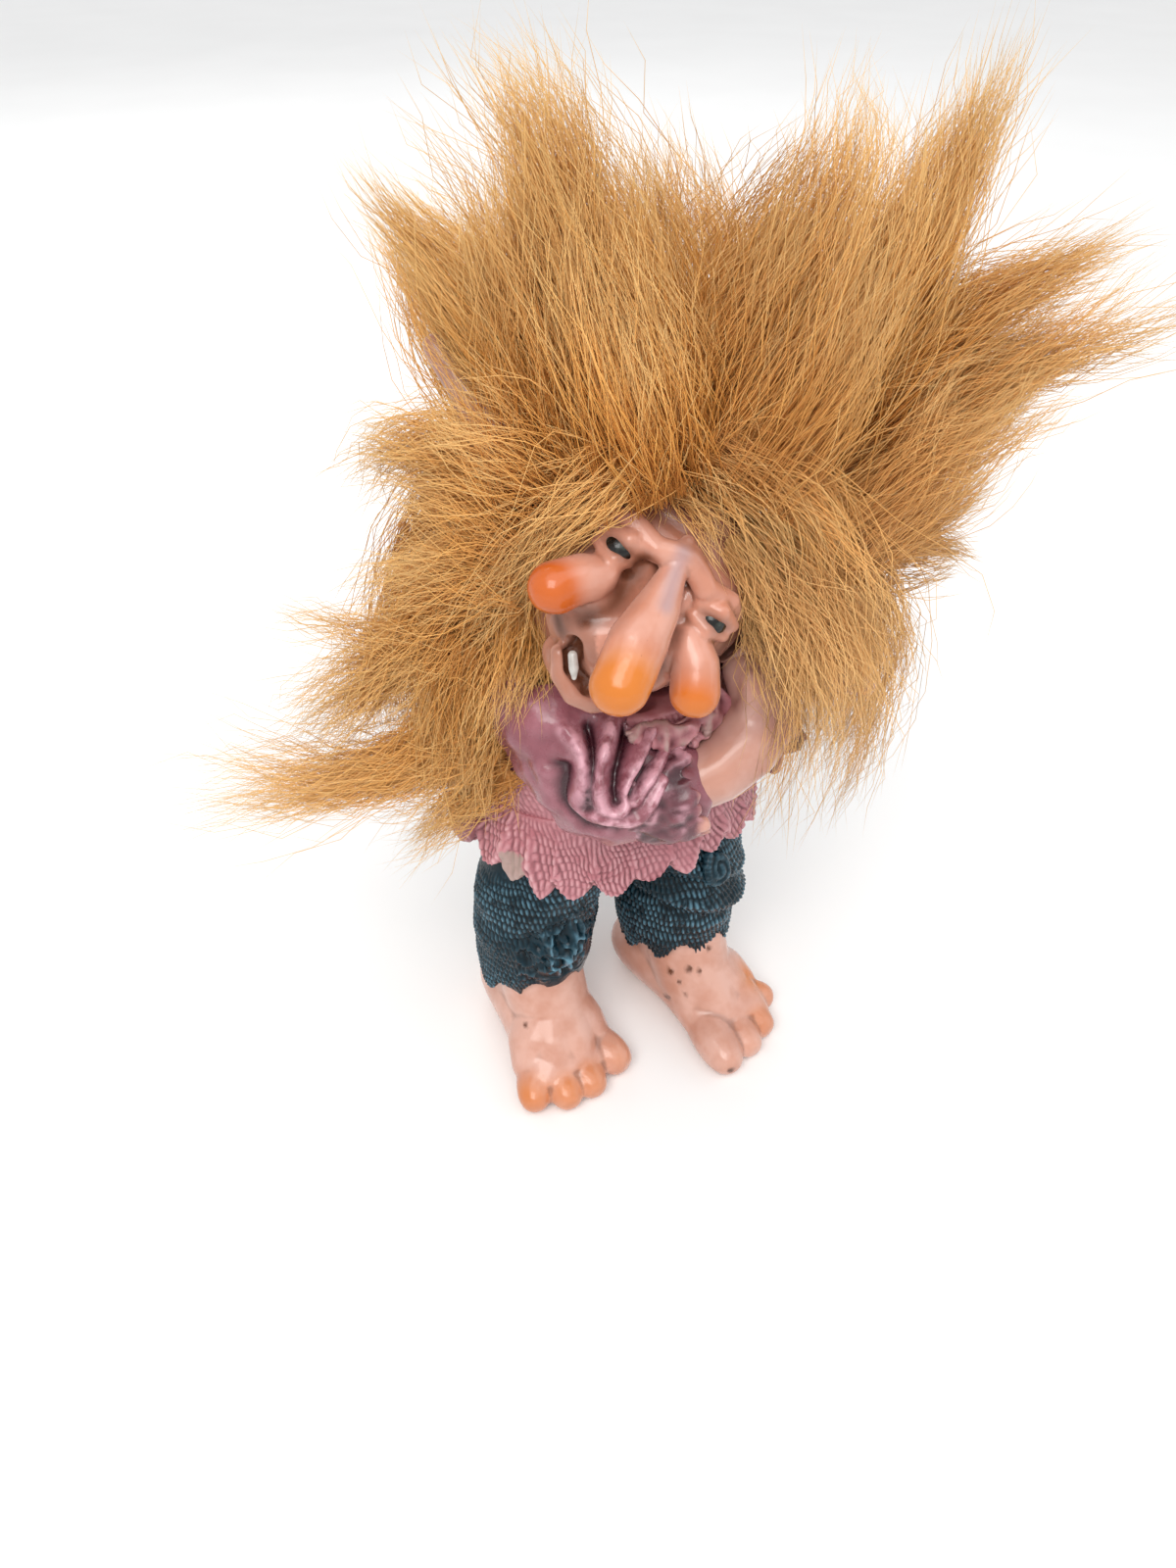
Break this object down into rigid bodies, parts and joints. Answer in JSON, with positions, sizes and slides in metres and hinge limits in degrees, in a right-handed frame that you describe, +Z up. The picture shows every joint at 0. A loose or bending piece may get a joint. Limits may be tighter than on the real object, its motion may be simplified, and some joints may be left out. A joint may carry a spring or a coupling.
{
  "type": "troll figure",
  "caption": "Small standing troll figure, painted cast body with ragged clothes, hand at its cheek, long nose and cheeks, and a glued mane of long fur.",
  "frame": {"origin": "on the ground under the middle of the whole figure", "axes": "+Z up, the figure faces -Y, its left hand side is +X"},
  "size_m": [0.0802, 0.0538, 0.1132],
  "materials": {
    "skin_paint": "cast resin painted pinkish tan with orange washes, varnished",
    "trouser_paint": "cast resin painted dark teal over knit relief, varnished",
    "sweater_paint": "cast resin painted dusty rose over knit relief, varnished",
    "sleeve_paint": "cast resin painted mauve over wrinkles, varnished",
    "tooth_paint": "off-white gloss paint",
    "eye_glaze": "black gloss paint with a grey glint",
    "fur": "long golden orange pile, paler at the tips"
  },
  "bodies": {
    "root": {"fur_back": "fur", "fur_back_left": "fur", "fur_back_right": "fur", "fur_cheek_right": "fur", "fur_crown_left": "fur", "fur_crown_middle": "fur", "fur_crown_right": "fur", "fur_flank_left": "fur", "fur_flare_left": "fur", "fur_fringe": "fur", "fur_nape": "fur", "fur_side_left": "fur", "fur_side_right": "fur", "fur_swept_left": "fur", "fur_swept_right": "fur", "fur_temple_right": "fur", "fur_wisp_left": "fur", "fur_wisp_right": "fur", "head": "skin_paint", "knee_knot": "trouser_paint", "knee_patch": "trouser_paint", "left_ear": "skin_paint", "left_eye": "eye_glaze", "left_foot": "skin_paint", "left_hand": "skin_paint", "left_sleeve": "sleeve_paint", "left_trouser_leg": "trouser_paint", "right_cuff": "sleeve_paint", "right_ear": "skin_paint", "right_eye": "eye_glaze", "right_foot": "skin_paint", "right_hand": "skin_paint", "right_sleeve": "sleeve_paint", "right_trouser_leg": "trouser_paint", "sweater": "sweater_paint", "sweater_collar": "sweater_paint", "sweater_hem": "sweater_paint", "tooth": "tooth_paint", "trouser_seat": "trouser_paint"}
  },
  "joints": []
}
